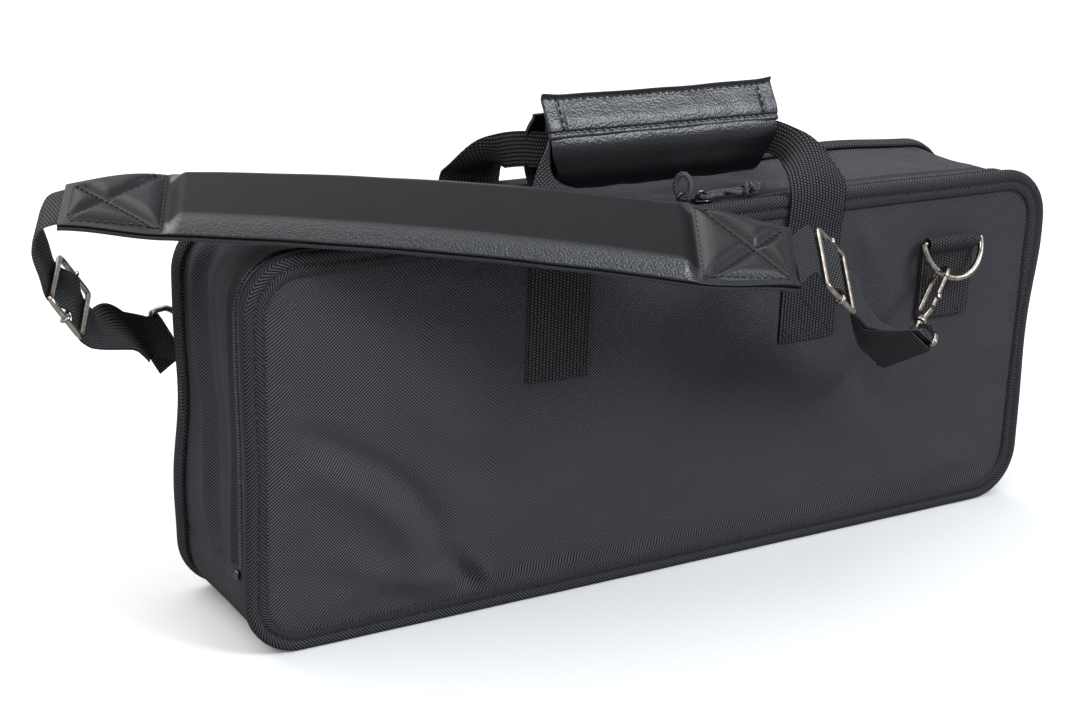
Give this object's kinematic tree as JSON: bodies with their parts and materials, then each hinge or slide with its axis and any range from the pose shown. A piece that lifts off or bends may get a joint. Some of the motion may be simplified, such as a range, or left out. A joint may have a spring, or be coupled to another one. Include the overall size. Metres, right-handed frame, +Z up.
{
  "type": "keyboard gig bag",
  "caption": "Padded cloth case for a small keyboard, with a zipped front lid, webbing handles joined in a wrapped grip, and a clip-on padded shoulder strap.",
  "frame": {"origin": "middle of the base's flat underside, on the floor", "axes": "+X along the bag to its right as seen from the front, +Y to the back, +Z up; the lid faces -Y"},
  "size_m": [0.6285, 0.2374, 0.2801],
  "materials": {
    "outer_cloth": "woven polyester, matte",
    "lining_cloth": "thin plain weave",
    "padding_foam": "foam, open",
    "binding_tape": "herringbone tape, matte",
    "zip_tape": "knitted tape, matte",
    "zip_coil": "nylon coil, satin",
    "pull_cord": "braided cord",
    "webbing": "ribbed polypropylene webbing",
    "grip_leatherette": "pebbled leatherette, semi-gloss",
    "pad_leatherette": "smooth leatherette with a pebbled bevel",
    "under_skin": "grained non-slip skin",
    "hook_and_loop": "hook and loop tape",
    "bright_metal": "polished dark nickel plate",
    "zip_metal": "dark plated"
  },
  "bodies": {
    "case": {"back_panel": "outer_cloth", "back_padding": "padding_foam", "back_lining": "lining_cloth", "back_binding": "binding_tape", "side_gusset": "outer_cloth", "base_gusset": "outer_cloth", "gusset_padding": "padding_foam", "gusset_lining": "lining_cloth", "zip_tape_case": "zip_tape", "zip_coil_case": "zip_coil", "zip_stop_left": "zip_metal", "zip_stop_right": "zip_metal", "front_hem": "outer_cloth", "base_binding": "binding_tape", "back_patch_left": "webbing", "back_patch_right": "webbing", "rear_ring_tab": "webbing", "rear_webbing": "webbing"},
    "lid": {"front_panel": "outer_cloth", "front_padding": "padding_foam", "front_lining": "lining_cloth", "front_binding": "binding_tape", "zip_tape_front": "zip_tape", "zip_coil_front": "zip_coil", "front_patch_left": "webbing", "front_patch_right": "webbing", "front_ring_tab": "webbing"},
    "left_slider": {"zip_slider_left": "zip_metal"},
    "left_pull": {"zip_pull_left": "pull_cord"},
    "right_slider": {"zip_slider_right": "zip_metal"},
    "right_pull": {"zip_pull_right": "pull_cord"},
    "front_handle_loop": {"front_handle": "webbing", "grip_wrap": "grip_leatherette", "grip_loop_tape": "hook_and_loop"},
    "grip_closure": {"grip_flap": "grip_leatherette", "grip_hook_tape": "hook_and_loop"},
    "back_handle_loop": {"back_handle": "webbing"},
    "front_ring": {"front_d_ring": "bright_metal"},
    "front_snap_hook": {"front_hook": "bright_metal"},
    "front_gate": {"front_hook_gate": "bright_metal"},
    "front_eye": {"front_swivel_eye": "bright_metal"},
    "rear_ring": {"rear_d_ring": "bright_metal"},
    "rear_snap_hook": {"rear_hook": "bright_metal"},
    "rear_gate": {"rear_hook_gate": "bright_metal"},
    "rear_eye": {"rear_swivel_eye": "bright_metal"},
    "shoulder_strap": {"pad_under_skin": "under_skin", "pad_foam": "padding_foam", "pad_cover": "pad_leatherette", "front_webbing": "webbing", "pad_end_webbing": "webbing", "front_adjuster_frame": "bright_metal", "rear_adjuster_frame": "bright_metal"},
    "front_slide_bar": {"front_adjuster_bar": "bright_metal"},
    "rear_slide_bar": {"rear_adjuster_bar": "bright_metal"}
  },
  "joints": [
    {"name": "lid_hinge", "type": "hinge", "parent": "case", "child": "lid", "pos_m": [0, -0.0515, 0.014], "axis": [1, 0, 0], "range_deg": [0, 60], "deforming": ["rear_webbing"]},
    {"name": "left_zip_slide", "type": "slide", "parent": "case", "child": "left_slider", "axis": [1, 0, 0], "range_m": [-0.19, 0]},
    {"name": "left_pull_swing", "type": "hinge", "parent": "left_slider", "child": "left_pull", "pos_m": [0.0035, -0.03345, 0.2192], "axis": [0, -1, 0], "range_deg": [0, 80]},
    {"name": "right_zip_slide", "type": "slide", "parent": "case", "child": "right_slider", "axis": [1, 0, 0], "range_m": [0, 0.19]},
    {"name": "right_pull_swing", "type": "hinge", "parent": "right_slider", "child": "right_pull", "pos_m": [0.0165, -0.03345, 0.2192], "axis": [0, -1, 0], "range_deg": [0, 80]},
    {"name": "front_handle_swing", "type": "hinge", "parent": "lid", "child": "front_handle_loop", "pos_m": [0, -0.0536, 0.21215], "axis": [1, 0, 0], "range_deg": [0, 12], "deforming": ["grip_wrap", "grip_loop_tape"]},
    {"name": "grip_flap_turn", "type": "hinge", "parent": "front_handle_loop", "child": "grip_closure", "pos_m": [0, -0.0208, 0.2589], "axis": [1, 0, 0], "range_deg": [0, 90]},
    {"name": "back_handle_swing", "type": "hinge", "parent": "case", "child": "back_handle_loop", "pos_m": [0, 0.0521, 0.21215], "axis": [-1, 0, 0], "range_deg": [0, 175]},
    {"name": "front_ring_swing", "type": "hinge", "parent": "lid", "child": "front_ring", "pos_m": [0.191, -0.0561, 0.18], "axis": [-1, 0, 0], "range_deg": [0, 35], "deforming": ["front_webbing"]},
    {"name": "front_hook_swing", "type": "hinge", "parent": "front_ring", "child": "front_snap_hook", "pos_m": [0.17809, -0.06314, 0.16258], "axis": [-0.8241, 0.2122, 0.5252], "range_deg": [0, 40]},
    {"name": "front_gate_turn", "type": "hinge", "parent": "front_snap_hook", "child": "front_gate", "pos_m": [0.157, -0.08084, 0.14935], "axis": [-0.6794, 0.3138, 0.6632], "range_deg": [0, 15], "stiffness_Nm_per_rad": 0.02, "springref_deg": -17.19},
    {"name": "front_eye_swivel", "type": "hinge", "parent": "front_snap_hook", "child": "front_eye", "pos_m": [0.17809, -0.06314, 0.16258], "axis": [-0.7257, -0.4205, -0.5445], "range_deg": [-20, 20]},
    {"name": "rear_ring_swing", "type": "hinge", "parent": "case", "child": "rear_ring", "pos_m": [-0.191, 0.0546, 0.18], "axis": [1, 0, 0], "range_deg": [0, 35]},
    {"name": "rear_hook_swing", "type": "hinge", "parent": "rear_ring", "child": "rear_snap_hook", "pos_m": [-0.21166, 0.05821, 0.17107], "axis": [0.4226, 0.3395, -0.8403], "range_deg": [0, 40]},
    {"name": "rear_gate_turn", "type": "hinge", "parent": "rear_snap_hook", "child": "rear_gate", "pos_m": [-0.23748, 0.05787, 0.15474], "axis": [-0.5024, -0.3251, 0.8012], "range_deg": [0, 15], "stiffness_Nm_per_rad": 0.02, "springref_deg": -17.19},
    {"name": "rear_eye_swivel", "type": "hinge", "parent": "rear_snap_hook", "child": "rear_eye", "pos_m": [-0.21166, 0.05821, 0.17107], "axis": [-0.8645, 0.1749, -0.4711], "range_deg": [-20, 20]},
    {"name": "strap_lift", "type": "hinge", "parent": "lid", "child": "shoulder_strap", "pos_m": [0.17809, -0.06314, 0.16258], "axis": [-0.9546, 0.2972, 0.0208], "range_deg": [0, 12]},
    {"name": "front_bar_slide", "type": "slide", "parent": "shoulder_strap", "child": "front_slide_bar", "axis": [0.7341, -0.0531, -0.677], "range_m": [-0.004, 0.004]},
    {"name": "rear_bar_slide", "type": "slide", "parent": "shoulder_strap", "child": "rear_slide_bar", "axis": [0.5481, -0.0742, -0.8331], "range_m": [-0.004, 0.004], "deforming": ["pad_end_webbing"]}
  ]
}
